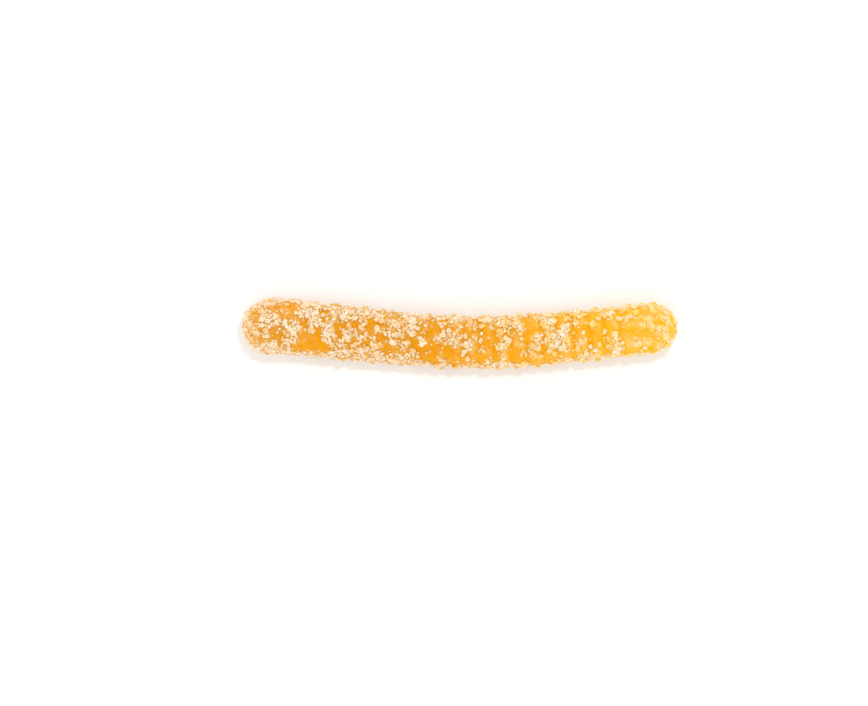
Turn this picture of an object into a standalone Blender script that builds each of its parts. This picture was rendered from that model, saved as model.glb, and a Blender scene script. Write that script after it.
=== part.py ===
"""A sugared gummy worm, lying on its flat back with its ribbed side up.

The worm is one piece of jelly: a long round bar with two blunt ends, ribbed across, bent in a shallow
bow and flat underneath, where the open top of its mould was. Its largest sugar crystals are fused on as
relief. +X runs along the worm, +Y is the inside of the bow, +Z is up, and the origin is at the centre
of the underside.
"""

import math
import random

import bmesh
import bpy
from mathutils import Euler, Matrix, Vector

MM = 0.001

# Length of the jelly, and its radius at the middle: the sugar on it makes the worm 78 mm by 10
LENGTH = 77.8 * MM
RADIUS = 4.75 * MM
# The bar is this much thicker at its left end, and as much thinner at its right
TAPER = 0.14 * MM
# Two soft swellings along the bar: how high, how far apart, and where one of them is
SWELL = 0.08 * MM
SWELL_LENGTH = 37.0 * MM
SWELL_AT = 11.0 * MM
# Length of each rounded end, as a share of the radius
LEFT_ROUNDING = 1.0
RIGHT_ROUNDING = 1.12

# Ribs: their pitch, how deep the grooves between them are, and where the first groove lies
RIB_PITCH = 2.83 * MM
RIB_DEPTH = 0.36 * MM
FIRST_GROOVE = -30.5 * MM
RIB_COUNT = 22
# The grooves get shallower over this length towards both ends
RIB_FADE = 6.0 * MM
# Above 1, a groove is narrower than the rib's crest
GROOVE_SHARPNESS = 1.5

# The bow: two nearly straight limbs that meet in a soft bend
LIMB_SLOPE = 0.12
BEND_AT = 3.0 * MM
BEND_LENGTH = 12.0 * MM
# The left tip turns back out of the bow from here on, by this many metres for each square metre
TIP_TURN_FROM = -28.0 * MM
TIP_TURN = 12.0
# This far back along Y, so that the outline is centred on the X axis
BOW_OFFSET = 1.6 * MM

# The flat underside lies this share of the radius below the centre line, and the tips lift a little
BACK_AT = 0.72
LEFT_LIFT = 0.3 * MM
RIGHT_LIFT = 0.6 * MM
LIFT_FROM = 16.0 * MM

# The tube's sides come from the bevel resolution, its rings from these counts
BEVEL_RESOLUTION = 8
RINGS_PER_RIB = 4
END_RINGS = 6

# Sugar crystals: how many, their longest side, the others as shares of it, and how far apart they are
CRYSTAL_COUNT = 290
SMALLEST_CRYSTAL = 0.7 * MM
LARGEST_CRYSTAL = 1.2 * MM
CRYSTAL_WIDTHS = (0.75, 0.95)
CRYSTAL_HEIGHTS = (0.6, 0.8)
CRYSTAL_SPACING = 1.45 * MM
# Each is tilted by up to this angle, and this share of its height is sunk in the jelly
CRYSTAL_TILT = math.radians(28)
CRYSTAL_SUNK = 0.55
CRYSTAL_SEED = 7
# No crystal grows nearer to the very tips than this
TIP_MARGIN = 0.3 * MM

# The share of the skin under sugar at the left end and at the right, and what the flanks add to it
LEFT_COVER = 0.9
RIGHT_COVER = 0.45
FLANK_COVER = 0.5
# Bare patches, in mm: place along the worm, distance over the skin from its top line towards +Y,
# half length and half width
BARE_PATCHES = (
    (-31.5, 4.2, 2.0, 1.4),
    (-26.5, -2.5, 3.3, 2.5),
    (-5.0, -2.1, 4.5, 2.0),
    (4.0, -3.2, 2.5, 2.0),
    (9.5, -2.5, 1.5, 1.9),
    (14.7, -4.7, 1.6, 2.0),
    (25.7, 0.0, 1.8, 2.4),
    (32.5, -0.5, 4.5, 4.0),
)

JELLY_COLOUR = (0.95, 0.44, 0.03, 1.0)


def remove_everything():
    for obj in list(bpy.data.objects):
        bpy.data.objects.remove(obj, do_unlink=True)


def new_collection(name):
    collection = bpy.data.collections.new(name)
    bpy.context.scene.collection.children.link(collection)
    return collection


def jelly_material():
    material = bpy.data.materials.new("golden_jelly")
    material.use_nodes = True
    shader = material.node_tree.nodes["Principled BSDF"]
    shader.inputs["Base Color"].default_value = JELLY_COLOUR
    shader.inputs["Roughness"].default_value = 0.4
    shader.inputs["Metallic"].default_value = 0.0
    shader.inputs["Subsurface Weight"].default_value = 0.4
    return material


def smooth_step(value):
    """0 below 0, 1 above 1, and a soft slope between."""
    value = min(max(value, 0.0), 1.0)
    return value * value * (3.0 - 2.0 * value)


def centre_of(x):
    """The point of the worm's centre line at x."""
    bow = LIMB_SLOPE * (math.hypot(x - BEND_AT, BEND_LENGTH) - BEND_LENGTH)
    tip_turn = TIP_TURN * min(x - TIP_TURN_FROM, 0.0) ** 2
    lift = LEFT_LIFT if x < 0 else RIGHT_LIFT
    raised = lift * smooth_step((abs(x) - LIFT_FROM) / (LENGTH / 2 - LIFT_FROM))
    return Vector((x, bow - tip_turn - BOW_OFFSET, BACK_AT * RADIUS + raised))


def bar_radius(x):
    """The bar's radius at x, without its ribs, rounded off at both ends."""
    swelling = SWELL * math.cos(2 * math.pi * (x - SWELL_AT) / SWELL_LENGTH)
    radius = RADIUS + swelling - TAPER * x / (LENGTH / 2)
    to_left = (x + LENGTH / 2) / (LEFT_ROUNDING * RADIUS)
    to_right = (LENGTH / 2 - x) / (RIGHT_ROUNDING * RADIUS)
    inset = 1.0 - min(to_left, to_right, 1.0)
    return radius * math.sqrt(max(1.0 - inset * inset, 0.0))


def groove_depth(x):
    """How far the skin lies under the bar's at x: nothing on a rib's crest, most in a groove."""
    from_first = x - FIRST_GROOVE
    from_last = FIRST_GROOVE + RIB_COUNT * RIB_PITCH - x
    to_smooth_end = min(from_first, from_last) + RIB_PITCH / 2
    wave = 0.5 + 0.5 * math.cos(2 * math.pi * from_first / RIB_PITCH)
    return RIB_DEPTH * smooth_step(to_smooth_end / RIB_FADE) * wave**GROOVE_SHARPNESS


def worm_radius(x):
    return bar_radius(x) - groove_depth(x)


def ring_places():
    """Where the tube has rings along x: close together round the ends, and a few to each rib."""
    quarter = math.pi / 2
    inward = [1.0 - math.cos(quarter * (ring + 0.35) / END_RINGS) for ring in range(END_RINGS)]
    left = [LEFT_ROUNDING * RADIUS * share - LENGTH / 2 for share in inward]
    right = [LENGTH / 2 - RIGHT_ROUNDING * RADIUS * share for share in reversed(inward)]
    step = RIB_PITCH / RINGS_PER_RIB
    ribs = [FIRST_GROOVE + step * ring for ring in range(RIB_COUNT * RINGS_PER_RIB + 1)]
    before_ribs = (left[-1] + ribs[0]) / 2
    return left + [before_ribs] + ribs + right


def weld_caps(mesh):
    """A curve's caps come loose, so their points are joined to the tube's."""
    shape = bmesh.new()
    shape.from_mesh(mesh)
    bmesh.ops.remove_doubles(shape, verts=shape.verts, dist=0.001 * MM)
    bmesh.ops.recalc_face_normals(shape, faces=shape.faces)
    shape.to_mesh(mesh)
    shape.free()


def make_bar(collection, material):
    """The ribbed bar: a curve whose points carry the worm's radius at each ring, made a mesh."""
    curve = bpy.data.curves.new("gummy_worm_line", "CURVE")
    curve.dimensions = "3D"
    curve.twist_mode = "Z_UP"
    curve.bevel_depth = 1.0
    curve.bevel_resolution = BEVEL_RESOLUTION
    curve.use_fill_caps = True
    places = ring_places()
    line = curve.splines.new("POLY")
    line.points.add(len(places) - 1)
    for point, x in zip(line.points, places):
        point.co = (*centre_of(x), 1.0)
        point.radius = worm_radius(x)
    tube = bpy.data.objects.new("gummy_worm_tube", curve)
    collection.objects.link(tube)
    graph = bpy.context.evaluated_depsgraph_get()
    mesh = bpy.data.meshes.new_from_object(tube.evaluated_get(graph))
    weld_caps(mesh)
    mesh.shade_smooth()
    mesh.materials.clear()
    mesh.materials.append(material)
    bar = bpy.data.objects.new("gummy_worm", mesh)
    bar.matrix_world = tube.matrix_world
    collection.objects.link(bar)
    bpy.data.objects.remove(tube, do_unlink=True)
    return bar


def skin_frame(x, angle):
    """The place on the skin at x and an angle from the top towards +Y, with its Z axis straight out."""
    step = 0.1 * MM
    along = (centre_of(x + step) - centre_of(x - step)).normalized()
    side = Vector((0.0, 0.0, 1.0)).cross(along).normalized()
    outward = along.cross(side) * math.cos(angle) + side * math.sin(angle)
    slope = (bar_radius(x + step) - bar_radius(x - step)) / (2 * step)
    normal = (outward - along * slope).normalized()
    place = centre_of(x) + outward * worm_radius(x)
    return Matrix.Translation(place) @ normal.to_track_quat("Z", "Y").to_matrix().to_4x4()


def sugar_cover(x, angle):
    """The share of the skin that sugar covers there: most at the left end and on the flanks."""
    along = (x + LENGTH / 2) / LENGTH
    flank = math.sin(min(abs(angle), math.pi / 2)) ** 2
    cover = LEFT_COVER + (RIGHT_COVER - LEFT_COVER) * along + FLANK_COVER * flank
    for patch_x, patch_across, half_length, half_width in BARE_PATCHES:
        lengthwise = (x / MM - patch_x) / half_length
        crosswise = (angle * RADIUS / MM - patch_across) / half_width
        cover *= smooth_step(math.hypot(lengthwise, crosswise) - 0.5)
    return cover


def crystal_places(draw):
    """Random places where there is sugar, each kept only if it is clear of the ones before."""
    back_edge = math.acos(-BACK_AT)
    reach = LENGTH / 2 - TIP_MARGIN
    places = []
    while len(places) < CRYSTAL_COUNT:
        x = draw.uniform(-reach, reach)
        angle = draw.uniform(-back_edge, back_edge)
        if draw.random() > sugar_cover(x, angle):
            continue
        frame = skin_frame(x, angle)
        gaps = [(frame.translation - other.translation).length for other in places]
        if min(gaps, default=LENGTH) > CRYSTAL_SPACING:
            places.append(frame)
    return places


def cube_mesh():
    """A cube with sides of 1, which every crystal shares and stretches to its own size."""
    mesh = bpy.data.meshes.new("crystal")
    shape = bmesh.new()
    bmesh.ops.create_cube(shape, size=1.0)
    shape.to_mesh(mesh)
    shape.free()
    return mesh


def make_crystals(collection):
    """Blocky crystals, each turned at random and sunk a little into the jelly."""
    draw = random.Random(CRYSTAL_SEED)
    cube = cube_mesh()
    for number, place in enumerate(crystal_places(draw)):
        longest = SMALLEST_CRYSTAL + (LARGEST_CRYSTAL - SMALLEST_CRYSTAL) * draw.random() ** 2
        width = longest * draw.uniform(*CRYSTAL_WIDTHS)
        height = longest * draw.uniform(*CRYSTAL_HEIGHTS)
        tilts = [draw.uniform(-CRYSTAL_TILT, CRYSTAL_TILT) for axis in range(2)]
        turn = Euler((*tilts, draw.uniform(0.0, math.pi))).to_matrix().to_4x4()
        lift = Matrix.Translation((0.0, 0.0, height * (0.5 - CRYSTAL_SUNK)))
        crystal = bpy.data.objects.new(f"crystal_{number:03d}", cube)
        crystal.matrix_world = place @ lift @ turn @ Matrix.Diagonal((longest, width, height, 1.0))
        collection.objects.link(crystal)


def fuse(worm, crystals):
    """Joins every crystal to the jelly in one union, then removes the loose ones."""
    union = worm.modifiers.new("fuse_crystals", "BOOLEAN")
    union.operation = "UNION"
    union.operand_type = "COLLECTION"
    union.collection = crystals
    graph = bpy.context.evaluated_depsgraph_get()
    mesh = bpy.data.meshes.new_from_object(worm.evaluated_get(graph))
    worm.modifiers.clear()
    worm.data = mesh
    for crystal in list(crystals.objects):
        bpy.data.objects.remove(crystal, do_unlink=True)
    bpy.data.collections.remove(crystals)


def flatten_back(worm, cutters):
    """Cuts away everything below z = 0, which leaves the worm's flat back."""
    size = LENGTH * 1.5
    bpy.ops.mesh.primitive_cube_add(size=size, location=(0.0, 0.0, -size / 2))
    cutter = bpy.context.object
    cutter.name = "back_cutter"
    cutter.display_type = "WIRE"
    cutter.hide_render = True
    for owner in list(cutter.users_collection):
        owner.objects.unlink(cutter)
    cutters.objects.link(cutter)
    cut = worm.modifiers.new("flat_back", "BOOLEAN")
    cut.operation = "DIFFERENCE"
    cut.object = cutter


def build():
    remove_everything()
    worm_collection = new_collection("gummy_worm")
    cutters = new_collection("cutters")
    crystals = new_collection("crystals")
    worm = make_bar(worm_collection, jelly_material())
    make_crystals(crystals)
    bpy.context.view_layer.update()
    fuse(worm, crystals)
    flatten_back(worm, cutters)
    bpy.context.view_layer.update()


build()
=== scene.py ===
# %% [markdown]
# # A sugared gummy worm
#
# A gummy worm is one long piece of soft jelly, rolled in sugar. This lesson builds its looks round the
# solid that was packed before: a ribbed golden bar in a shallow bow, flat underneath, with crystals stuck
# to it. Three things make it look real: jelly that light goes into and comes out of again, crystals of
# many sizes that are real little shapes and not a pattern, and sugar that lies where it lies on the real
# worm, thick at one end and along the flanks, with bare windows between.

import math
import random

import bmesh
import bpy
import numpy as np
from mathutils import Euler, Matrix, Vector


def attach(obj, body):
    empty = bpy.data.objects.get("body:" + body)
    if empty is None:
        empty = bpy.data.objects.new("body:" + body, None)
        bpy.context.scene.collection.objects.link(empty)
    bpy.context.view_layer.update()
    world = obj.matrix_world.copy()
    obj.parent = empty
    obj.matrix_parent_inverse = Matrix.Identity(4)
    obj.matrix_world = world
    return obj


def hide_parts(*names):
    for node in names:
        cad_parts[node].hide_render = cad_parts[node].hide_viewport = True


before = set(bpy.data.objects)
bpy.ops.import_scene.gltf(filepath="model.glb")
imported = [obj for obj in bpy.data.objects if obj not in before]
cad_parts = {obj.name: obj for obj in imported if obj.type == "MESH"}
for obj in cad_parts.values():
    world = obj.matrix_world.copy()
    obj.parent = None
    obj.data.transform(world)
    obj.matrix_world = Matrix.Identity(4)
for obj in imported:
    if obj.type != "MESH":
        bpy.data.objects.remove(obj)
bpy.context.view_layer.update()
MM = 0.001

# %% [markdown]
# ## The rule of the worm's shape
#
# The jelly and the sugar both have to know where the worm's skin is. So the shape is written once, as a
# few rules: a centre line, a radius that is rounded off at both ends, and grooves that repeat along it.
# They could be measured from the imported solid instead, but that is coarse and has crystals on it. Rules
# give the skin at any place, and their numbers are the worm's own sizes.

# %% Centre line and radius
LENGTH = 77.8 * MM
RADIUS = 4.75 * MM
TAPER = 0.14 * MM
SWELL, SWELL_LENGTH, SWELL_AT = 0.08 * MM, 37.0 * MM, 11.0 * MM
LEFT_ROUNDING, RIGHT_ROUNDING = 1.0, 1.12
LIMB_SLOPE, BEND_AT, BEND_LENGTH = 0.12, 3.0 * MM, 12.0 * MM
TIP_TURN_FROM, TIP_TURN = -28.0 * MM, 12.0
BOW_OFFSET = 1.6 * MM
BACK_AT = 0.72
LEFT_LIFT, RIGHT_LIFT, LIFT_FROM = 0.3 * MM, 0.6 * MM, 16.0 * MM


def smooth_step(value):
    """0 below 0, 1 above 1, and a soft slope between."""
    value = np.clip(value, 0.0, 1.0)
    return value * value * (3.0 - 2.0 * value)


def centre_of(x):
    """Points of the centre line at x, which may be one number or many."""
    x = np.asarray(x, float)
    bow = LIMB_SLOPE * (np.hypot(x - BEND_AT, BEND_LENGTH) - BEND_LENGTH)
    tip_turn = TIP_TURN * np.minimum(x - TIP_TURN_FROM, 0.0) ** 2
    lift = np.where(x < 0, LEFT_LIFT, RIGHT_LIFT)
    raised = lift * smooth_step((abs(x) - LIFT_FROM) / (LENGTH / 2 - LIFT_FROM))
    return np.stack([x, bow - tip_turn - BOW_OFFSET, BACK_AT * RADIUS + raised], axis=-1)


def bar_radius(x):
    """The radius at x without its ribs."""
    swelling = SWELL * np.cos(2 * math.pi * (x - SWELL_AT) / SWELL_LENGTH)
    radius = RADIUS + swelling - TAPER * x / (LENGTH / 2)
    to_left = (x + LENGTH / 2) / (LEFT_ROUNDING * RADIUS)
    to_right = (LENGTH / 2 - x) / (RIGHT_ROUNDING * RADIUS)
    inset = 1.0 - np.minimum(np.minimum(to_left, to_right), 1.0)
    return radius * np.sqrt(np.maximum(1.0 - inset * inset, 0.0))


print("radius in mm at the middle and near both ends:",
      [round(float(bar_radius(x * MM)) / MM, 2) for x in (0, -37, 37)])

# %% [markdown]
# The ribs are part of the same rule. They are the marks of the mould: shallow grooves, a little narrower
# than the crests between them, that fade out before both ends.

# %% Ribs
RIB_PITCH, RIB_DEPTH = 2.83 * MM, 0.36 * MM
FIRST_GROOVE, RIB_COUNT = -30.5 * MM, 22
RIB_FADE, GROOVE_SHARPNESS = 6.0 * MM, 1.5


def groove_depth(x):
    """How far the skin lies under the bar's at x."""
    from_first = x - FIRST_GROOVE
    from_last = FIRST_GROOVE + RIB_COUNT * RIB_PITCH - x
    to_smooth_end = np.minimum(from_first, from_last) + RIB_PITCH / 2
    wave = 0.5 + 0.5 * np.cos(2 * math.pi * from_first / RIB_PITCH)
    return RIB_DEPTH * smooth_step(to_smooth_end / RIB_FADE) * wave**GROOVE_SHARPNESS


print("groove depth in mm in a groove and on the crest beside it:",
      [round(float(groove_depth(FIRST_GROOVE + turns * RIB_PITCH)) / MM, 2) for turns in (5, 5.5)])

# %% [markdown]
# Jelly and crystals also have to know which way is out of the skin. An angle round the centre line is
# measured from the way up, towards the worm's side, so the rule gives those directions at each place.

# %% Directions along the worm
HALF_STEP = 0.1 * MM


def directions_at(x):
    """The centre line's own direction at x, the way to its side and the way up, each of length 1."""
    along = centre_of(x + HALF_STEP) - centre_of(x - HALF_STEP)
    along /= np.linalg.norm(along, axis=-1, keepdims=True)
    side = np.cross([0.0, 0.0, 1.0], along)
    side /= np.linalg.norm(side, axis=-1, keepdims=True)
    return along, side, np.cross(along, side)


print("the worm's own direction at its right end:", directions_at(36 * MM)[0].round(2))

# %% [markdown]
# ## Where the sugar is
#
# Sugar sticks where the damp jelly touched it. On this worm the left end and both flanks are nearly
# covered, the right end is nearly bare, and there are a few bare windows on top. One number says it for
# each place: 0 is bare and 1 is covered. It could be painted by hand, but a rule in numbers is easy to
# change, and the large crystals, the smaller ones and the dust can each ask it in their own way.

# %% The cover rule
LEFT_COVER, RIGHT_COVER, FLANK_COVER = 0.9, 0.45, 0.5
# The inner part of a patch, as a share of its half sizes, that belongs to it wholly
PATCH_CORE = 0.5
# Bare windows in mm: place along the worm, distance over the skin from its top line towards +Y, half
# length and half width
BARE_PATCHES = (
    (-31.5, 4.2, 2.0, 1.4),
    (-26.5, -2.5, 3.3, 2.5),
    (-5.0, -2.1, 4.5, 2.0),
    (4.0, -3.2, 2.5, 2.0),
    (9.5, -2.5, 1.5, 1.9),
    (14.7, -4.7, 1.6, 2.0),
    (25.7, 0.0, 1.8, 2.4),
    (32.5, -0.5, 4.5, 4.0),
)


def outside_patch(x, angle, patch):
    """0 in a patch, 1 outside it, and a soft slope between."""
    patch_x, patch_across, half_length, half_width = patch
    lengthwise = (x / MM - patch_x) / half_length
    crosswise = (angle * RADIUS / MM - patch_across) / half_width
    return smooth_step(np.hypot(lengthwise, crosswise) - PATCH_CORE)


def sugar_cover(x, angle, left=LEFT_COVER, right=RIGHT_COVER, on_flanks=FLANK_COVER, flank_power=2):
    """The share of the skin under sugar at x and an angle from the top towards +Y."""
    along = (x + LENGTH / 2) / LENGTH
    flank = np.sin(np.minimum(abs(angle), math.pi / 2)) ** flank_power
    cover = left + (right - left) * along + on_flanks * flank
    for patch in BARE_PATCHES:
        cover = cover * outside_patch(x, angle, patch)
    return cover


print("cover on top at the left end, middle, right end:",
      [round(float(sugar_cover(x * MM, 0.0)), 2) for x in (-36, 0, 36)])

# %% [markdown]
# The smaller crystals follow the same rule with numbers of their own. They lie thicker on the crests
# between the grooves, which touched the sugar first, they keep to the flanks more sharply, and few are
# left in the windows. In a few patches they are heaped up, and those are written the way the windows
# are. The left tip has more fine sugar and less medium, and a fine frost covers the right tip, where
# hardly any larger crystal holds. The finest dust is too small for shapes, so it is painted into the
# jelly's colour: over the whole left end, and at the right most of all on the crests, as pale stripes
# that are partly dust and partly a painted sheen.

# %% Cover of the smaller sugar
MEDIUM_LEFT, MEDIUM_RIGHT, MEDIUM_FLANKS = 0.90, 0.33, 0.75
FROST_LEFT, FROST_RIGHT, FROST_FLANKS = 0.70, 0.33, 0.9
SHARPER_FLANKS = 4
CLEARED_WINDOWS, THICKER_PATCHES = 0.3, 1.6
# Patches of thick sugar, written as the bare windows are
THICK_PATCHES = (
    (-33.9, 1.9, 0.9, 0.9),
    (-30.2, -0.1, 0.7, 1.3),
    (-28.3, 3.2, 1.5, 1.0),
    (-26.1, 1.1, 1.1, 0.8),
    (-23.8, -1.0, 1.2, 1.4),
    (-21.0, -4.6, 1.8, 1.2),
    (-11.0, 0.9, 0.8, 0.8),
    (-8.4, -3.5, 1.0, 0.8),
    (-6.8, -0.3, 0.8, 0.9),
    (-1.2, -0.2, 0.9, 1.2),
    (4.5, -3.9, 0.9, 0.7),
    (8.0, 4.4, 1.2, 1.0),
    (18.0, -0.6, 1.3, 2.0),
    (28.6, -3.7, 0.9, 0.9),
    (30.7, 2.5, 1.0, 0.7),
)
FINE_TIP_UNTIL, LESS_ON_FINE_TIP = -33.5 * MM, 0.45
LESS_IN_GROOVES = 0.3
FROSTED_TIP_FROM, TIP_SOFTNESS, TIP_FROST = 32.0 * MM, 4.0 * MM, 0.55
DUST_UNDER_SUGAR, DUST_ON_TIPS = 0.4, 0.3
DUSTY_END_UNTIL, DUSTY_END_SOFTNESS = -26.0 * MM, 5.0 * MM
# Pale colour on the crests, partly dust and partly a painted sheen: a little at the left, most at the
# right
DUST_AND_SHEEN_ON_LEFT_CRESTS, DUST_AND_SHEEN_ON_RIGHT_CRESTS = 0.05, 0.5
print(len(BARE_PATCHES), "bare windows and", len(THICK_PATCHES), "thick patches")

# %% [markdown]
# Each kind of small sugar is then one short function of the place along the worm and the angle round it.
# One long function with switches would do the same, but three short ones are easier to change.

# %% Rules for medium sugar, fine sugar, and dust with the crests' painted sheen


def in_groove(x, angle):
    """1 at the bottom of a groove, 0 on a crest, whatever the angle."""
    return groove_depth(x) / RIB_DEPTH


def on_fine_tip(x):
    """1 on the left tip, where the sugar is finer."""
    return smooth_step((FINE_TIP_UNTIL - x) / TIP_SOFTNESS)


def on_frosted_tip(x):
    """1 on the right tip, where only a fine frost holds."""
    return smooth_step((x - FROSTED_TIP_FROM) / TIP_SOFTNESS)


def small_sugar_cover(x, angle, left, right, on_flanks):
    """The share of the skin under the smaller sugar: above 1 it lies thick, below 0 it is wiped bare."""
    cover = sugar_cover(x, angle, left, right, on_flanks, SHARPER_FLANKS)
    for patch in BARE_PATCHES:
        cover = cover - CLEARED_WINDOWS * (1.0 - outside_patch(x, angle, patch))
    for patch in THICK_PATCHES:
        cover = cover + THICKER_PATCHES * (1.0 - outside_patch(x, angle, patch))
    return cover - LESS_IN_GROOVES * in_groove(x, angle)


def medium_cover(x, angle):
    """The share of the skin under medium sugar."""
    cover = small_sugar_cover(x, angle, MEDIUM_LEFT, MEDIUM_RIGHT, MEDIUM_FLANKS)
    return cover - LESS_ON_FINE_TIP * on_fine_tip(x)


def frost_cover(x, angle):
    """The share of the skin under fine sugar."""
    cover = small_sugar_cover(x, angle, FROST_LEFT, FROST_RIGHT, FROST_FLANKS) + on_fine_tip(x)
    return np.maximum(cover, TIP_FROST * on_frosted_tip(x))


def dust_and_sheen_cover(x, angle):
    """How dusty the skin is under fine sugar and at both ends, and how pale the crests are, partly with
    dust and partly with a painted sheen.
    """
    rightness = smooth_step(x / LENGTH + 0.5)
    most = DUST_AND_SHEEN_ON_LEFT_CRESTS + (DUST_AND_SHEEN_ON_RIGHT_CRESTS - DUST_AND_SHEEN_ON_LEFT_CRESTS) * rightness
    # On the crests the pale colour is partly dust and partly a painted sheen, most of it at the right
    dust_and_sheen_on_crest = most * (1.0 - in_groove(x, angle))
    on_dusty_end = smooth_step((DUSTY_END_UNTIL - x) / DUSTY_END_SOFTNESS)
    on_tips = DUST_ON_TIPS * (on_frosted_tip(x) + on_dusty_end)
    return DUST_UNDER_SUGAR * np.clip(frost_cover(x, angle), 0.0, 1.0) + dust_and_sheen_on_crest + on_tips


thick_place = (THICK_PATCHES[2][0] * MM, THICK_PATCHES[2][1] * MM / RADIUS)
print("medium sugar, fine sugar and dust in the third thick patch:",
      [round(float(rule(*thick_place)), 2) for rule in (medium_cover, frost_cover, dust_and_sheen_cover)])

# %% [markdown]
# ## Helpers for node trees
#
# Both the shapes and the materials are made with nodes, so a few helpers keep the cells short: one adds
# a node and fills its inputs, and the others write a sum, a vector, a cloud pattern or a change of range
# as one line. The nodes could be laid out by hand in the editor too, but a script can be read and rerun.

# %% Node helpers


def socket_of(sockets, key):
    """A socket by its place or its name. A node hides the sockets of a name that it doesn't use."""
    if isinstance(key, int):
        return sockets[key]
    return next(socket for socket in sockets if socket.name == key and socket.enabled)


def add_node(tree, kind, inputs=None, **settings):
    """Adds a node: settings are its own choices, inputs are values or other nodes' outputs."""
    node = tree.nodes.new(kind)
    for name, value in settings.items():
        setattr(node, name, value)
    for key, value in (inputs or {}).items():
        socket = socket_of(node.inputs, key)
        if isinstance(value, bpy.types.NodeSocket):
            tree.links.new(value, socket)
        else:
            socket.default_value = value
    return node


def calculate(tree, operation, *values):
    """One step of arithmetic as a node, and its result."""
    node = add_node(tree, "ShaderNodeMath", dict(enumerate(values)), operation=operation)
    return node.outputs[0]


def parts_of(tree, place):
    """The X, Y and Z of a place."""
    return add_node(tree, "ShaderNodeSeparateXYZ", {0: place}).outputs


def joined(tree, x, y, z):
    """A vector out of its X, Y and Z."""
    return add_node(tree, "ShaderNodeCombineXYZ", {0: x, 1: y, 2: z}).outputs[0]


def cloud_pattern(tree, place, scale, detail):
    """A soft cloud pattern, 0.5 on average."""
    inputs = {"Vector": place, "Scale": scale, "Detail": detail}
    return add_node(tree, "ShaderNodeTexNoise", inputs).outputs[0]


def mapped(tree, value, from_low, from_high, to_low=0.0, to_high=1.0, **settings):
    """Brings a value from one range into another and keeps it there."""
    inputs = {0: value, 1: from_low, 2: from_high, 3: to_low, 4: to_high}
    return add_node(tree, "ShaderNodeMapRange", inputs, **settings).outputs[0]


# %% [markdown]
# Geometry Nodes need a few more. One makes a tree with named inputs, and one runs a tree on a mesh and
# keeps the result as a plain mesh, because only real triangles are handed over.

# %% Helpers for shapes
RANDOM_SOCKETS = {"FLOAT_VECTOR": (0, 1, 0), "FLOAT": (2, 3, 1), "INT": (4, 5, 2)}


def random_between(tree, kind, lowest, highest, seed):
    """A random value for each point. The node has sockets of its own for each kind of value."""
    low, high, result = RANDOM_SOCKETS[kind]
    inputs = {low: lowest, high: highest, "Seed": seed}
    return add_node(tree, "FunctionNodeRandomValue", inputs, data_type=kind).outputs[result]


def stored(tree, name, kind="FLOAT"):
    """What was stored on the mesh under a name."""
    node = add_node(tree, "GeometryNodeInputNamedAttribute", {"Name": name}, data_type=kind)
    return node.outputs["Attribute"]


def position_of(tree):
    """Each point's own place."""
    return add_node(tree, "GeometryNodeInputPosition").outputs[0]


def shape_tree(name, **named_inputs):
    """A Geometry Nodes tree with named inputs, and its two end nodes."""
    tree = bpy.data.node_groups.new(name, "GeometryNodeTree")
    tree.interface.new_socket("Geometry", in_out="INPUT", socket_type="NodeSocketGeometry")
    tree.interface.new_socket("Geometry", in_out="OUTPUT", socket_type="NodeSocketGeometry")
    for key, kind in named_inputs.items():
        label = key.replace("_", " ").capitalize()
        tree.interface.new_socket(label, in_out="INPUT", socket_type=f"NodeSocket{kind}")
    start = tree.nodes.new("NodeGroupInput").outputs
    end = tree.nodes.new("NodeGroupOutput").inputs
    return tree, start, end


def finish_tree(tree, end, geometry, material):
    """Every tree ends the same way: real geometry instead of instances, with its material set."""
    real = add_node(tree, "GeometryNodeRealizeInstances", {"Geometry": geometry}).outputs[0]
    finished = add_node(tree, "GeometryNodeSetMaterial", {"Geometry": real, "Material": material})
    tree.links.new(finished.outputs[0], end[0])


def grow(name, base_mesh, tree, **values):
    """Runs a tree on a mesh and returns the result as a finished, plain mesh object."""
    base = bpy.data.objects.new(name + "_base", base_mesh)
    bpy.context.scene.collection.objects.link(base)
    modifier = base.modifiers.new(tree.name, "NODES")
    modifier.node_group = tree
    wanted = {key.replace("_", " ").capitalize(): value for key, value in values.items()}
    for item in tree.interface.items_tree:
        if item.in_out == "INPUT" and item.name in wanted:
            modifier[item.identifier] = wanted.pop(item.name)
    assert not wanted, f"{tree.name} has no input called {sorted(wanted)}"
    graph = bpy.context.evaluated_depsgraph_get()
    mesh = bpy.data.meshes.new_from_object(base.evaluated_get(graph), depsgraph=graph)
    mesh.name = name
    piece = bpy.data.objects.new(name, mesh)
    bpy.context.scene.collection.objects.link(piece)
    bpy.data.objects.remove(base, do_unlink=True)
    triangles = sum(len(face.vertices) - 2 for face in mesh.polygons)
    print(f"{name}: {triangles} triangles")
    return piece


# %% [markdown]
# ## Jelly
#
# Gelatine jelly is clear, but tiny air bubbles and the colour in it turn light round inside, so it glows
# from within and its shadows are warm. Glass would look too empty and paint too dead. Subsurface
# scattering is the shader's own way to do this: red and green light travel about a millimetre through
# the jelly, blue light hardly at all. The colour is a deep amber on the left and turns to gold on the
# right. The same turn is used again for the colour that clear crystals show.

# %% The jelly's colours
AMBER, GOLD = (0.71, 0.265, 0.001), (0.92, 0.445, 0.001)
SUNLIT_AMBER, SUNLIT_GOLD = (0.80, 0.36, 0.005), (0.97, 0.56, 0.01)
# The pale colour of the dust, which on the crests is also a painted sheen
PALE_DUST_AND_SHEEN = (0.98, 0.70, 0.32)
AMBER_UNTIL, GOLD_FROM = -6.0 * MM, 31.0 * MM


def new_material(name):
    """An empty material with a shader, and the tree to add nodes to."""
    material = bpy.data.materials.new(name)
    material.use_nodes = True
    return material, material.node_tree, material.node_tree.nodes["Principled BSDF"].inputs


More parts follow.
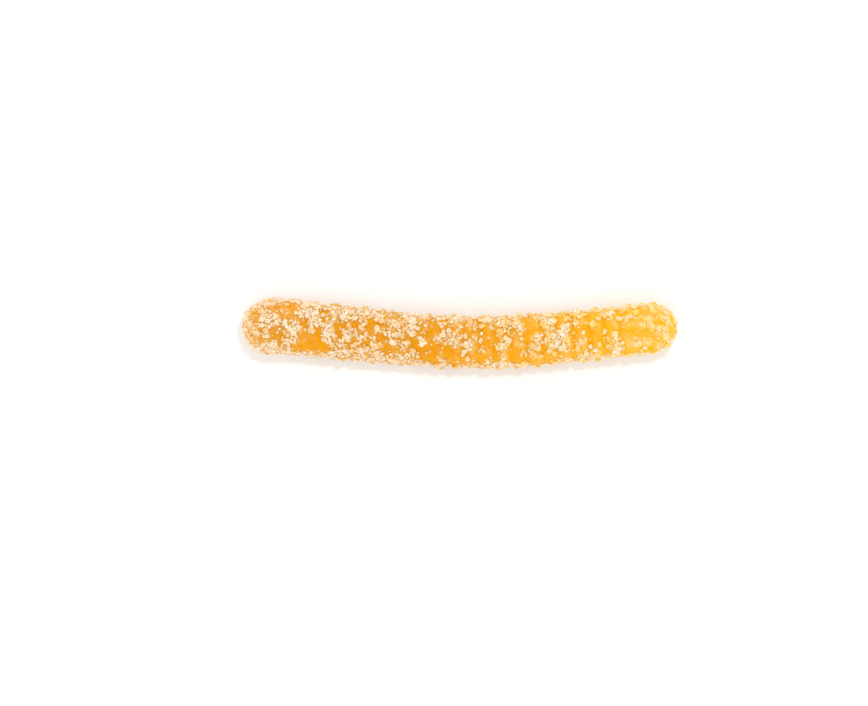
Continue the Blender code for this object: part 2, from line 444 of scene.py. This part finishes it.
def blend_colours(tree, share, first, second):
    """A mix of two colours, by a share from 0 to 1."""
    node = add_node(tree, "ShaderNodeMix", {0: share}, data_type="RGBA")
    for socket, colour in ((node.inputs[6], first), (node.inputs[7], second)):
        if isinstance(colour, bpy.types.NodeSocket):
            tree.links.new(colour, socket)
        else:
            socket.default_value = (*colour, 1.0)
    return node.outputs[2]


def jelly_colour(tree, place, left=AMBER, right=GOLD):
    """The jelly's own colour at a place: amber to the left, gold to the right."""
    rightness = mapped(tree, parts_of(tree, place)[0], AMBER_UNTIL, GOLD_FROM)
    return blend_colours(tree, rightness, left, right)


def painted(tree, name):
    """A number that is painted on the mesh."""
    return add_node(tree, "ShaderNodeAttribute", attribute_name=name).outputs["Fac"]


print("jelly's colour at the left and at the right:", AMBER, GOLD)

# %% [markdown]
# The jelly is a little cloudy, and it is painted lighter in the grooves: painted light that offsets the
# shade falling in them. Pale dust lies on its skin, in the same clumps that the crystals lie in, and on
# the crests at the right its pale colour is also a painted sheen. A fine grit breaks the dust into grains
# and gives the skin its satin sheen. Grit and clumps are noise patterns at two scales. A picture could do
# it too, but it would have to be wrapped round the worm, and noise in space needs no wrapping.

# %% The jelly's material
# The last number is painted light: how far the grooves are lightened, to offset the shade that falls in
# them
CLOUD_SCALE, CLOUD_SHARE, GROOVE_PAINTED_LIGHT = 220.0, 0.25, 0.35
CLUMP_SCALE, DRIFT_SCALE, GRIT_SCALE = 420.0, 800.0, 2600.0
CLUMP_EDGES, GRAIN_EDGES, GRIT_EDGES = (0.42, 0.62), (0.4, 0.62), (0.3, 0.7)
DUST_BETWEEN_CLUMPS, EXTRA_DUST_IN_CLUMPS = 0.4, 1.1
SMOOTHEST, ROUGHEST = 0.2, 0.45
RELIEF_STRENGTH, RELIEF_HEIGHT = 0.5, 0.05 * MM
JELLY_SHADER = {
    "Subsurface Weight": 0.75,
    "Subsurface Radius": (0.9, 0.7, 0.2),
    "Subsurface Scale": 1.0 * MM,
    "IOR": 1.45,
    "Specular IOR Level": 0.08,
}


def dust_and_sheen_share(tree, place, grit):
    """How far the pale dust, with the painted sheen on the crests, hides the jelly: gathered in clumps and
    broken into grains.
    """
    in_clump = mapped(tree, cloud_pattern(tree, place, CLUMP_SCALE, 1.0), *CLUMP_EDGES)
    gathered = calculate(tree, "MULTIPLY_ADD", in_clump, EXTRA_DUST_IN_CLUMPS, DUST_BETWEEN_CLUMPS)
    most = calculate(tree, "MULTIPLY", painted(tree, "dust_and_sheen"), gathered)
    drifts = cloud_pattern(tree, place, DRIFT_SCALE, 1.0)
    grains = calculate(tree, "MULTIPLY", calculate(tree, "ADD", grit, drifts), 0.5)
    return mapped(tree, grains, *GRAIN_EDGES, 0.0, most)


def jelly_material():
    material, tree, shader = new_material("golden_jelly")
    place = add_node(tree, "ShaderNodeTexCoord").outputs["Object"]
    cloud = cloud_pattern(tree, place, CLOUD_SCALE, 3.0)
    # Painted light: the grooves are lightened towards gold, to offset the shade that falls in them
    painted_groove_light = calculate(tree, "MULTIPLY", painted(tree, "groove"), GROOVE_PAINTED_LIGHT)
    towards_gold = calculate(tree, "MULTIPLY_ADD", cloud, CLOUD_SHARE, painted_groove_light)
    clouded_and_groove_lit = blend_colours(tree, towards_gold, jelly_colour(tree, place), GOLD)
    grit = cloud_pattern(tree, place, GRIT_SCALE, 2.0)
    # The pale dust over the jelly's colour, which on the crests at the right is also a painted sheen
    with_dust_and_sheen = blend_colours(tree, dust_and_sheen_share(tree, place, grit), clouded_and_groove_lit, PALE_DUST_AND_SHEEN)
    tree.links.new(with_dust_and_sheen, shader["Base Color"])
    tree.links.new(mapped(tree, grit, *GRIT_EDGES, SMOOTHEST, ROUGHEST), shader["Roughness"])
    relief = {"Strength": RELIEF_STRENGTH, "Distance": RELIEF_HEIGHT, "Height": grit}
    tree.links.new(add_node(tree, "ShaderNodeBump", relief).outputs[0], shader["Normal"])
    for name, value in JELLY_SHADER.items():
        shader[name].default_value = value
    return material


jelly = jelly_material()
print("made", jelly.name, "with", len(jelly.node_tree.nodes), "nodes")

# %% [markdown]
# The jelly's form follows its rule, so a node tree builds it. A string of points along the centre line
# carries the bar's radius; the tree cuts the grooves into that radius, sweeps a circle along the line,
# flattens the back with a soft edge and lets the skin swell and dip a little. A sculpted mesh would give
# the same, but here a rib is one number. The grooves are real shape, so they show in the outline too.

# %% Cut the grooves and sweep the bar


def grooved_radius(tree, start, x):
    """The bar's radius at x with the grooves cut into it, by the same rule as groove_depth."""
    pitch = start["Rib pitch"]
    from_first = calculate(tree, "SUBTRACT", x, start["First groove"])
    ribs_length = calculate(tree, "MULTIPLY", start["Rib count"], pitch)
    from_last = calculate(tree, "SUBTRACT", ribs_length, from_first)
    nearest = calculate(tree, "MINIMUM", from_first, from_last)
    to_smooth_end = calculate(tree, "MULTIPLY_ADD", pitch, 0.5, nearest)
    fade = mapped(tree, to_smooth_end, 0.0, start["Rib fade"], interpolation_type="SMOOTHSTEP")
    turns = calculate(tree, "DIVIDE", from_first, pitch)
    cosine = calculate(tree, "COSINE", calculate(tree, "MULTIPLY", turns, 2 * math.pi))
    round_wave = calculate(tree, "MULTIPLY_ADD", cosine, 0.5, 0.5)
    wave = calculate(tree, "POWER", round_wave, start["Groove sharpness"])
    depth = calculate(tree, "MULTIPLY", calculate(tree, "MULTIPLY", wave, fade), start["Rib depth"])
    return calculate(tree, "SUBTRACT", stored(tree, "bar_radius"), depth)


def swept_bar(tree, start):
    """A ring swept along the line of points, which keeps for each point how far along it is."""
    x = parts_of(tree, position_of(tree))[0]
    kept_x = add_node(
        tree, "GeometryNodeStoreNamedAttribute",
        {"Geometry": start["Geometry"], "Name": "along", "Value": x},
    ).outputs[0]
    line = add_node(tree, "GeometryNodeMeshToCurve", {0: kept_x}).outputs[0]
    ring = add_node(
        tree, "GeometryNodeCurvePrimitiveCircle", {"Resolution": start["Sides"], "Radius": 1.0}
    ).outputs[0]
    radius = grooved_radius(tree, start, x)
    return add_node(
        tree, "GeometryNodeCurveToMesh",
        {"Curve": line, "Profile Curve": ring, "Scale": radius, "Fill Caps": True},
    ).outputs[0]


# %% [markdown]
# A worm comes out of its mould a little uneven, and flat at the back, where the mould is open. Both only
# move points: along their own way out for the swelling, and up to the back's height where they lie lower.
# The same flattening is used again for crystals that would reach below the table.

# %% Swell the skin, flatten the back


def uneven_skin(tree, start, geometry):
    """The skin swells and dips a little, as jelly out of a starch mould does."""
    normal = add_node(tree, "GeometryNodeInputNormal").outputs[0]
    noise = cloud_pattern(tree, position_of(tree), start["Uneven scale"], 3.0)
    swell = calculate(tree, "MULTIPLY", calculate(tree, "SUBTRACT", noise, 0.5), start["Unevenness"])
    offset = add_node(tree, "ShaderNodeVectorMath", {0: normal, 3: swell}, operation="SCALE").outputs[0]
    return add_node(tree, "GeometryNodeSetPosition", {"Geometry": geometry, "Offset": offset}).outputs[0]


def raised_to(tree, geometry, lowest, softness):
    """Presses what lies below a height up to it, with a soft edge."""
    x, y, z = parts_of(tree, position_of(tree))
    place = joined(tree, x, y, calculate(tree, "SMOOTH_MAX", z, lowest, softness))
    return add_node(tree, "GeometryNodeSetPosition", {"Geometry": geometry, "Position": place}).outputs[0]


def jelly_tree():
    tree, start, end = shape_tree(
        "ribbed_jelly_bar",
        rib_pitch="Float", rib_depth="Float", first_groove="Float", rib_count="Int", rib_fade="Float",
        groove_sharpness="Float", sides="Int", back_height="Float", back_edge="Float",
        unevenness="Float", uneven_scale="Float", material="Material",
    )
    uneven = uneven_skin(tree, start, swept_bar(tree, start))
    flattened = raised_to(tree, uneven, start["Back height"], start["Back edge"])
    smooth = add_node(tree, "GeometryNodeSetShadeSmooth", {"Geometry": flattened}).outputs[0]
    finish_tree(tree, end, smooth, start["Material"])
    print(tree.name, "has", len(tree.nodes), "nodes")
    return tree


# %% [markdown]
# The jelly's skin lies a little inside the solid's, because the sugar on it fills the rest. The rings of
# points stand closer together round the two ends, where the radius changes fast.

# %% Sweep the jelly
SUGAR_ROOM = 0.12 * MM
BACK_ROOM = 0.2 * MM
RING_STEP = 0.2 * MM
END_RINGS = 28
# The ring nearest to each tip, as an angle of the quarter circle that rounds the end
FIRST_RING = 0.02
JELLY_SIDES = 96


def ring_places():
    """Places along the worm, closest together near its tips."""
    inward = 1.0 - np.cos(np.linspace(FIRST_RING, math.pi / 2, END_RINGS))
    left = LEFT_ROUNDING * RADIUS * inward - LENGTH / 2
    right = LENGTH / 2 - RIGHT_ROUNDING * RADIUS * inward[::-1]
    middle = np.linspace(left[-1], right[0], round((right[0] - left[-1]) / RING_STEP))
    return np.concatenate([left, middle[1:-1], right])


def line_mesh():
    """The centre line as a string of points, each with the bar's radius there."""
    places = ring_places()
    mesh = bpy.data.meshes.new("worm_line")
    links = [(point, point + 1) for point in range(len(places) - 1)]
    mesh.from_pydata(centre_of(places).tolist(), links, [])
    radius = mesh.attributes.new("bar_radius", "FLOAT", "POINT")
    shrink = (RADIUS - SUGAR_ROOM) / RADIUS
    radius.data.foreach_set("value", (bar_radius(places) * shrink).astype(np.float32))
    return mesh


body = grow(
    "jelly_body", line_mesh(), jelly_tree(),
    rib_pitch=RIB_PITCH, rib_depth=RIB_DEPTH, first_groove=FIRST_GROOVE, rib_count=RIB_COUNT,
    rib_fade=RIB_FADE, groove_sharpness=GROOVE_SHARPNESS, sides=JELLY_SIDES, back_height=BACK_ROOM,
    back_edge=0.35 * MM, unevenness=0.22 * MM, uneven_scale=320.0, material=jelly,
)

# %% [markdown]
# Now the cover rules are painted on the jelly: each point of the mesh learns how much medium sugar, fine
# sugar and dust it gets, with the painted sheen on the crests that goes with the dust, and how deep in a
# groove it is. The tree has stored how far along the worm each point is, so its angle round the worm
# follows. Weights could also be painted with a brush, but those that follow a rule stay right when the
# worm's size changes.

# %% Paint the sugar cover on the jelly


def paint_cover(piece, name, rule):
    """Writes what a rule says of each point of the mesh, under a name."""
    mesh = piece.data
    points = np.empty(len(mesh.vertices) * 3, np.float32)
    mesh.vertices.foreach_get("co", points)
    points = points.reshape(-1, 3)
    x = np.empty(len(points), np.float32)
    mesh.attributes["along"].data.foreach_get("value", x)
    along, side, up = directions_at(x)
    outward = points - centre_of(x)
    angle = np.arctan2((outward * side).sum(-1), (outward * up).sum(-1))
    cover = np.clip(rule(x, angle), -1.0, 2.5)
    layer = mesh.attributes.new(name, "FLOAT", "POINT")
    layer.data.foreach_set("value", cover.astype(np.float32))
    print("average cover of", name, "is", round(float(cover.mean()), 2))


paint_cover(body, "medium", medium_cover)
paint_cover(body, "frost", frost_cover)
# The dust number also carries the painted sheen on the crests
paint_cover(body, "dust_and_sheen", dust_and_sheen_cover)
paint_cover(body, "groove", in_groove)

# %% [markdown]
# ## Sugar
#
# Sugar crystals are small clear blocks with flat faces. Where they lie alone they show the jelly's
# colour, and where they lie thick, or are cracked, they turn creamy white. Glass-clear shapes that
# overlap by the thousand come out grey, so the shader is opaque and colour stands in for clearness: each
# crystal goes from the jelly's colour at its foot and in the middles of its faces to creamy white at its
# top and corners. Chance and the sugar round it say how milky it is. Its faces are smooth, so they flash.

# %% The sugar's material
COARSE_MILKY, COARSE_ROUGHNESS = (0.84, 0.71, 0.51), 0.15
FINE_MILKY, FINE_ROUGHNESS = (0.87, 0.71, 0.43), 0.3
CLEARNESS, SUGAR_IOR = 0.9, 1.5
CRACK_SCALE, CRACKS, MILKINESS_WEIGHT = 2200.0, 1.2, 1.8
CLEAR_UNDER, MILKY_OVER, MILKY_CONTRAST = -0.3, 1.5, 2.0


def sugar_material(name, milky, roughness):
    """Goes from the sunlit jelly's colour to milky, by whiteness, milkiness and a pattern of cracks."""
    material, tree, shader = new_material(name)
    place = add_node(tree, "ShaderNodeTexCoord").outputs["Object"]
    cracks = calculate(tree, "SUBTRACT", cloud_pattern(tree, place, CRACK_SCALE, 1.0), 0.5)
    cracked = calculate(tree, "MULTIPLY_ADD", cracks, CRACKS, painted(tree, "whiteness"))
    total = calculate(tree, "MULTIPLY_ADD", painted(tree, "milkiness"), MILKINESS_WEIGHT, cracked)
    share = calculate(tree, "POWER", mapped(tree, total, CLEAR_UNDER, MILKY_OVER), MILKY_CONTRAST)
    clear = blend_colours(tree, CLEARNESS, milky, jelly_colour(tree, place, SUNLIT_AMBER, SUNLIT_GOLD))
    tree.links.new(blend_colours(tree, share, clear, milky), shader["Base Color"])
    shader["Roughness"].default_value = roughness
    shader["IOR"].default_value = SUGAR_IOR
    print("made", name)
    return material


coarse_sugar = sugar_material("coarse_sugar", COARSE_MILKY, COARSE_ROUGHNESS)
fine_sugar = sugar_material("fine_sugar", FINE_MILKY, FINE_ROUGHNESS)

# %% [markdown]
# A crystal is a block whose corners are nudged at random and whose faces are pushed out a little, so
# that no two look the same and each has 24 small faces to catch the light. A few such shapes are enough,
# because every copy is turned and stretched differently. They are closed shapes a millimetre or less
# across, so more faces would be wasted. Each point also carries its whiteness, which every copy keeps.

# %% Crystal shapes
SHAPE_COUNT, CORNER_NUDGE = 6, 0.11
TOP_WHITENESS, FOOT_CLEARNESS, MIDDLE_CLEARNESS = 3.0, 0.6, 1.9


def crystal_shape(name, draw, bulge):
    """A nudged block about 1 wide: the hull of its corners and, if it bulges, its faces' middles."""
    reach = 0.5 - 0.5 * bulge
    corners = [Vector((a, b, c)) * reach for a in (-1, 1) for b in (-1, 1) for c in (-1, 1)]
    middles = [Vector(sign * (0.5 + bulge) if axis == turn else 0.0 for axis in range(3))
               for turn in range(3) for sign in (-1, 1)]
    shape = bmesh.new()
    for point in corners + (middles if bulge else []):
        shape.verts.new(point + Vector(draw.uniform(-CORNER_NUDGE, CORNER_NUDGE) for axis in range(3)))
    bmesh.ops.convex_hull(shape, input=shape.verts)
    bmesh.ops.recalc_face_normals(shape, faces=shape.faces)
    mesh = bpy.data.meshes.new(name)
    shape.to_mesh(mesh)
    shape.free()
    # A crystal is whiter at its corners than in the middles of its faces, and at its top than at its foot
    whiteness = mesh.attributes.new("whiteness", "FLOAT", "POINT")
    for number, point in enumerate(mesh.vertices):
        is_middle = number >= len(corners)
        value = TOP_WHITENESS * point.co.z - FOOT_CLEARNESS - (MIDDLE_CLEARNESS if is_middle else 0.0)
        whiteness.data[number].value = value
    return bpy.data.objects.new(name, mesh)


def crystal_shapes(name, seed, bulge):
    """A collection of different shapes to pick from."""
    draw = random.Random(seed)
    collection = bpy.data.collections.new(name)
    for number in range(SHAPE_COUNT):
        collection.objects.link(crystal_shape(f"{name}_{number}", draw, bulge))
    return collection


block_shapes = crystal_shapes("blocks", seed=3, bulge=0.12)
grain_shapes = crystal_shapes("grains", seed=5, bulge=0.0)

# %% [markdown]
# ### The large crystals
#
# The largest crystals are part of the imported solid, so they have to be in the same places here. The same
# seeded draw gives the same places: random points on the skin, kept where there is sugar and where no
# other crystal is near. Each point then carries its crystal's turn and size, and a small tree puts a
# shape there.

# %% Places of the large crystals
CRYSTAL_COUNT, CRYSTAL_SEED = 290, 7
SMALLEST_CRYSTAL, LARGEST_CRYSTAL = 0.7 * MM, 1.2 * MM
CRYSTAL_WIDTHS, CRYSTAL_HEIGHTS = (0.75, 0.95), (0.6, 0.8)
CRYSTAL_SPACING, TIP_MARGIN = 1.45 * MM, 0.3 * MM
CRYSTAL_TILT, CRYSTAL_SUNK = math.radians(28), 0.55


def skin_frame(x, angle):
    """The place on the solid's skin at x and an angle from the top, with its Z axis straight out."""
    along, side, up = (Vector(way) for way in directions_at(x))
    outward = up * math.cos(angle) + side * math.sin(angle)
    slope = float(bar_radius(x + HALF_STEP) - bar_radius(x - HALF_STEP)) / (2 * HALF_STEP)
    normal = (outward - along * slope).normalized()
    place = Vector(centre_of(x)) + outward * float(bar_radius(x) - groove_depth(x))
    return Matrix.Translation(place) @ normal.to_track_quat("Z", "Y").to_matrix().to_4x4()


def crystal_places(draw):
    """Random places on the skin, more of them where there is more sugar, and none close together."""
    back_edge = math.acos(-BACK_AT)
    reach = LENGTH / 2 - TIP_MARGIN
    places = []
    while len(places) < CRYSTAL_COUNT:
        x = draw.uniform(-reach, reach)
        angle = draw.uniform(-back_edge, back_edge)
        if draw.random() > sugar_cover(x, angle):
            continue
        place = skin_frame(x, angle)
        gaps = [(place.translation - other.translation).length for other in places]
        if min(gaps, default=LENGTH) > CRYSTAL_SPACING:
            places.append(place)
    return places


def crystal_matrices():
    """Place, turn and size of each large crystal."""
    draw = random.Random(CRYSTAL_SEED)
    matrices = []
    for place in crystal_places(draw):
        longest = SMALLEST_CRYSTAL + (LARGEST_CRYSTAL - SMALLEST_CRYSTAL) * draw.random() ** 2
        width = longest * draw.uniform(*CRYSTAL_WIDTHS)
        height = longest * draw.uniform(*CRYSTAL_HEIGHTS)
        tilts = [draw.uniform(-CRYSTAL_TILT, CRYSTAL_TILT) for axis in range(2)]
        turn = Euler((*tilts, draw.uniform(0.0, math.pi))).to_matrix().to_4x4()
        lift = Matrix.Translation((0.0, 0.0, height * (0.5 - CRYSTAL_SUNK)))
        matrices.append(place @ lift @ turn @ Matrix.Diagonal((longest, width, height, 1.0)))
    return matrices


crystals = crystal_matrices()
longest_crystal = max(max(crystal.to_scale()) for crystal in crystals)
print(len(crystals), "large crystals, the longest", round(longest_crystal / MM, 2), "mm")

# %% [markdown]
# Two things hold for every crystal, large or small. What would reach below the table is pressed nearly
# flat, as it is under a real worm. And each crystal gets its own milkiness, by chance and by how thick
# the sugar lies round it, before the copies become real geometry.

# %% Feet and milkiness
FOOT_SOFTNESS = 0.5 * MM
MILKY_BY_CHANCE, MILKY_WHERE_THICK = 0.65, 0.65


def on_the_table(tree, geometry):
    """Nothing reaches below z = 0, where the worm rests."""
    return raised_to(tree, geometry, 0.0, FOOT_SOFTNESS)


def seed_of(tree, start, step):
    """The tree's seed, moved on, so that no two random values go together."""
    return calculate(tree, "ADD", start["Seed"], float(step))


def real_crystals(tree, start, instances, thickness):
    """Gives each crystal its milkiness, and makes all of them real geometry."""
    chance = random_between(tree, "FLOAT", 0.0, MILKY_BY_CHANCE, seed_of(tree, start, 3))
    milkiness = calculate(tree, "MULTIPLY_ADD", thickness, MILKY_WHERE_THICK, chance)
    marked = add_node(
        tree, "GeometryNodeStoreNamedAttribute",
        {"Geometry": instances, "Name": "milkiness", "Value": milkiness}, domain="INSTANCE",
    ).outputs[0]
    return add_node(tree, "GeometryNodeRealizeInstances", {"Geometry": marked}).outputs[0]


def copies_of_shapes(tree, start, points, rotation, size):
    """Puts one of the shapes, picked at random, on each point."""
    shapes = add_node(
        tree, "GeometryNodeCollectionInfo", {"Collection": start["Shapes"], "Separate Children": True}
    ).outputs[0]
    pick = random_between(tree, "INT", 0, SHAPE_COUNT - 1, start["Seed"])
    return add_node(
        tree, "GeometryNodeInstanceOnPoints",
        {"Points": points, "Instance": shapes, "Pick Instance": True, "Instance Index": pick,
         "Rotation": rotation, "Scale": size},
    ).outputs[0]


# %% [markdown]
# The list of crystals goes into a tree as a mesh of loose points that carry each crystal's turn and size.
# A loop could copy the shapes one by one, but then 290 objects would have to be joined.

# %% Put the large crystals in place
THICK_AT_LEFT, THICK_AT_RIGHT = 0.4, -0.25


def crystal_points(matrices):
    """A point for each crystal, with its turn and its size as attributes."""
    mesh = bpy.data.meshes.new("crystal_points")
    mesh.from_pydata([matrix.translation for matrix in matrices], [], [])
    turns = mesh.attributes.new("turn", "FLOAT_VECTOR", "POINT")
    sizes = mesh.attributes.new("size", "FLOAT_VECTOR", "POINT")
    for number, matrix in enumerate(matrices):
        turns.data[number].vector = matrix.to_euler()
        sizes.data[number].vector = matrix.to_scale()
    return mesh


def placed_crystals_tree():
    tree, start, end = shape_tree("placed_crystals", shapes="Collection", seed="Int", material="Material")
    turn = add_node(tree, "FunctionNodeEulerToRotation", {0: stored(tree, "turn", "FLOAT_VECTOR")})
    size = stored(tree, "size", "FLOAT_VECTOR")
    placed = copies_of_shapes(tree, start, start["Geometry"], turn.outputs[0], size)
    # Towards the right, where the sugar is thinner, the large crystals are clearer too
    x = parts_of(tree, position_of(tree))[0]
    thickness = mapped(tree, x, -LENGTH / 2, LENGTH / 2, THICK_AT_LEFT, THICK_AT_RIGHT)
    real = real_crystals(tree, start, placed, thickness)
    finish_tree(tree, end, on_the_table(tree, real), start["Material"])
    return tree


large_sugar = grow(
    "large_sugar", crystal_points(crystals), placed_crystals_tree(),
    shapes=block_shapes, seed=11, material=coarse_sugar,
)

# %% [markdown]
# ### The rest of the sugar
#
# Thousands of smaller crystals can't be placed by hand. A tree scatters points over the jelly, no two
# closer than a crystal apart, and keeps them by the painted cover. A cloud pattern added to the cover
# breaks the edges up into clumps and gaps, as sugar that was shaken on has, a few strays land anywhere,
# and crystals in the thickest sugar are the milkiest. The same tree makes both the medium crystals and
# the fine grains: only its inputs change.

# %% A crystal on each point
# A crystal's length, width and height as shares of its size: the least and the most
LEAST_SHARES, MOST_SHARES = (1.0, 0.7, 0.45), (1.0, 1.0, 0.7)


def random_size(tree, start):
    """A random size for each point. Small ones are more common than large."""
    chance = random_between(tree, "FLOAT", 0.0, 1.0, seed_of(tree, start, 1))
    range_of_sizes = calculate(tree, "SUBTRACT", start["Largest"], start["Smallest"])
    squared = calculate(tree, "POWER", chance, 2.0)
    longest = calculate(tree, "MULTIPLY_ADD", squared, range_of_sizes, start["Smallest"])
    shares = random_between(tree, "FLOAT_VECTOR", LEAST_SHARES, MOST_SHARES, seed_of(tree, start, 2))
    return add_node(tree, "ShaderNodeVectorMath", {0: shares, 3: longest}, operation="SCALE").outputs[0]


def random_turn(tree, start, upright):
    """Each crystal stands out of the skin, turned at random round that way and tilted a little."""
    tilt, back = start["Tilt"], calculate(tree, "MULTIPLY", start["Tilt"], -1.0)
    low, high = joined(tree, back, back, 0.0), joined(tree, tilt, tilt, 2 * math.pi)
    turn = random_between(tree, "FLOAT_VECTOR", low, high, start["Seed"])
    rotation = add_node(tree, "FunctionNodeEulerToRotation", {0: turn}).outputs[0]
    return add_node(
        tree, "FunctionNodeRotateRotation", {0: upright, 1: rotation}, rotation_space="LOCAL"
    ).outputs[0]


def sunk_crystals(tree, start, points, upright):
    """A crystal on each point, sunk into the jelly by a share of its height."""
    turn, size = random_turn(tree, start, upright), random_size(tree, start)
    copies = copies_of_shapes(tree, start, points, turn, size)
    shift = joined(tree, 0.0, 0.0, calculate(tree, "SUBTRACT", 0.5, start["Sunk"]))
    return add_node(
        tree, "GeometryNodeTranslateInstances",
        {"Instances": copies, "Translation": shift, "Local Space": True},
    ).outputs[0]


# %% [markdown]
# The tree itself decides two things at each place: what share of the points is kept, and how thick the
# sugar lies. Both come from one sum, the painted cover and the clouds, so thick sugar is also milky.

# %% The scattering tree


def scatter_tree():
    tree, start, end = shape_tree(
        "scattered_crystals",
        shapes="Collection", cover="String", spacing="Float", most="Float", smallest="Float",
        largest="Float", tilt="Float", sunk="Float", clump_scale="Float", clumping="Float",
        threshold="Float", softness="Float", strays="Float", seed="Int", material="Material",
    )
    clouds = cloud_pattern(tree, position_of(tree), start["Clump scale"], 1.0)
    centred = calculate(tree, "SUBTRACT", clouds, 0.5)
    cover = stored(tree, start["Cover"])
    wanted = calculate(tree, "MULTIPLY_ADD", centred, start["Clumping"], cover)
    full = calculate(tree, "ADD", start["Threshold"], start["Softness"])
    share = mapped(tree, wanted, start["Threshold"], full, start["Strays"])
    thickest = calculate(tree, "MULTIPLY_ADD", start["Softness"], 2.0, start["Threshold"])
    thickness = mapped(tree, wanted, start["Threshold"], thickest)
    points = add_node(
        tree, "GeometryNodeDistributePointsOnFaces",
        {"Mesh": start["Geometry"], 2: start["Spacing"], 3: start["Most"], 5: share,
         "Seed": start["Seed"]},
        distribute_method="POISSON",
    ).outputs
    sunk = sunk_crystals(tree, start, points["Points"], points["Rotation"])
    real = real_crystals(tree, start, sunk, thickness)
    finish_tree(tree, end, on_the_table(tree, real), start["Material"])
    print(tree.name, "has", len(tree.nodes), "nodes")
    return tree


scatter = scatter_tree()

# %% [markdown]
# Medium crystals are up to 0.9 mm long, as coarse sugar is, and the fine grains under half of that. Both
# are scattered over the same jelly, and their seeds differ, so they don't fall in the same places.

# %% Scatter the medium and the fine sugar
medium_sugar = grow(
    "medium_sugar", body.data, scatter,
    shapes=block_shapes, cover="medium", spacing=0.48 * MM, most=9.0e6, smallest=0.42 * MM,
    largest=0.9 * MM, tilt=0.45, sunk=0.56, clump_scale=CLUMP_SCALE, clumping=3.6,
    threshold=0.3, softness=0.8, strays=0.07, seed=21, material=coarse_sugar,
)
fine_grains = grow(
    "fine_sugar_grains", body.data, scatter,
    shapes=grain_shapes, cover="frost", spacing=0.34 * MM, most=8.0e6, smallest=0.22 * MM,
    largest=0.42 * MM, tilt=0.6, sunk=0.6, clump_scale=CLUMP_SCALE, clumping=3.0,
    threshold=0.3, softness=1.0, strays=0.05, seed=31, material=fine_sugar,
)

# %% [markdown]
# ## Hand the pieces over
#
# All four pieces stand for the one imported solid and move with it, so each rides on the root body.

# %% Ride and replace
for piece in (body, large_sugar, medium_sugar, fine_grains):
    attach(piece, "root")
    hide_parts("gummy_worm")
    print(piece.name, "rides on the root and replaces gummy_worm")

# %% [markdown]
# ## Table, lamps and camera
#
# The worm lies on a plain white table. It is only a plane, because a seamless pale ground is all that a
# small bright thing needs.

# %% Table


def white_table():
    bpy.ops.mesh.primitive_plane_add(size=3.0)
    table = bpy.context.object
    table.name = "table"
    material, tree, shader = new_material("white_table")
    shader["Base Color"].default_value = (0.92, 0.92, 0.92, 1.0)
    shader["Roughness"].default_value = 0.6
    table.data.materials.append(material)
    print("table:", [round(side, 1) for side in table.dimensions], "m")


white_table()

# %% [markdown]
# The light is soft, as in a studio: a bright surround, one wide lamp above for the soft sheen, four low
# lamps all round that brighten the flanks, and one small lamp that makes the crystals flash. A single
# hard lamp would turn the gap beside each crystal black.

# %% Lamps and surround


def area_lamp(name, place, target, size, watts):
    data = bpy.data.lights.new(name, "AREA")
    data.shape = "DISK"
    data.size = size
    data.energy = watts
    lamp = bpy.data.objects.new(name, data)
    lamp.location = place
    lamp.rotation_euler = (Vector(target) - Vector(place)).to_track_quat("-Z", "Y").to_euler()
    bpy.context.scene.collection.objects.link(lamp)
    print(name, "at", [round(side, 2) for side in place], "with", watts, "W")


def surround(strength):
    world = bpy.data.worlds.new("studio")
    bpy.context.scene.world = world
    world.use_nodes = True
    background = world.node_tree.nodes["Background"].inputs
    background["Color"].default_value = (1.0, 1.0, 1.0, 1.0)
    background["Strength"].default_value = strength


def side_lamps(count, distance, height):
    """Low lamps all round, which light the worm's flanks."""
    for number in range(count):
        turn = 2 * math.pi * number / count
        place = (distance * math.cos(turn), distance * math.sin(turn), height)
        area_lamp(f"side_lamp_{number + 1}", place, (0, 0, 0), size=0.25, watts=0.5)


surround(0.77)
area_lamp("wide_lamp", (-0.15, -0.25, 0.6), (0, 0, 0), size=0.6, watts=0.65)
side_lamps(count=4, distance=0.5, height=0.12)
area_lamp("small_lamp", (0.1, 0.2, 0.6), (0, 0, 0), size=0.06, watts=0.8)
bpy.context.scene.view_settings.view_transform = "Standard"

# %% [markdown]
# The camera looks straight down from far away with a long lens, as the photo's did, and its frame is
# placed so that the worm lies where it lies in the photo.

# %% Camera
PHOTO_WIDTH, PHOTO_HEIGHT = 868, 706
PIXELS_PER_MM = 5.564
# Where the worm's origin lies in the photo
ORIGIN_PIXEL = (460.0, 333.5)
WORM_MIDDLE = 4.5 * MM
CAMERA_DISTANCE = 0.9
SENSOR = 36.0


def camera_above():
    width = PHOTO_WIDTH / PIXELS_PER_MM * MM
    x = (PHOTO_WIDTH / 2 - ORIGIN_PIXEL[0]) / PIXELS_PER_MM * MM
    y = (ORIGIN_PIXEL[1] - PHOTO_HEIGHT / 2) / PIXELS_PER_MM * MM
    data = bpy.data.cameras.new("camera")
    data.sensor_width = SENSOR
    data.lens = SENSOR * CAMERA_DISTANCE / width
    data.clip_start = 0.01
    camera = bpy.data.objects.new("camera", data)
    camera.location = (x, y, WORM_MIDDLE + CAMERA_DISTANCE)
    bpy.context.scene.collection.objects.link(camera)
    bpy.context.scene.camera = camera
    print("lens in mm:", round(data.lens, 1))


camera_above()
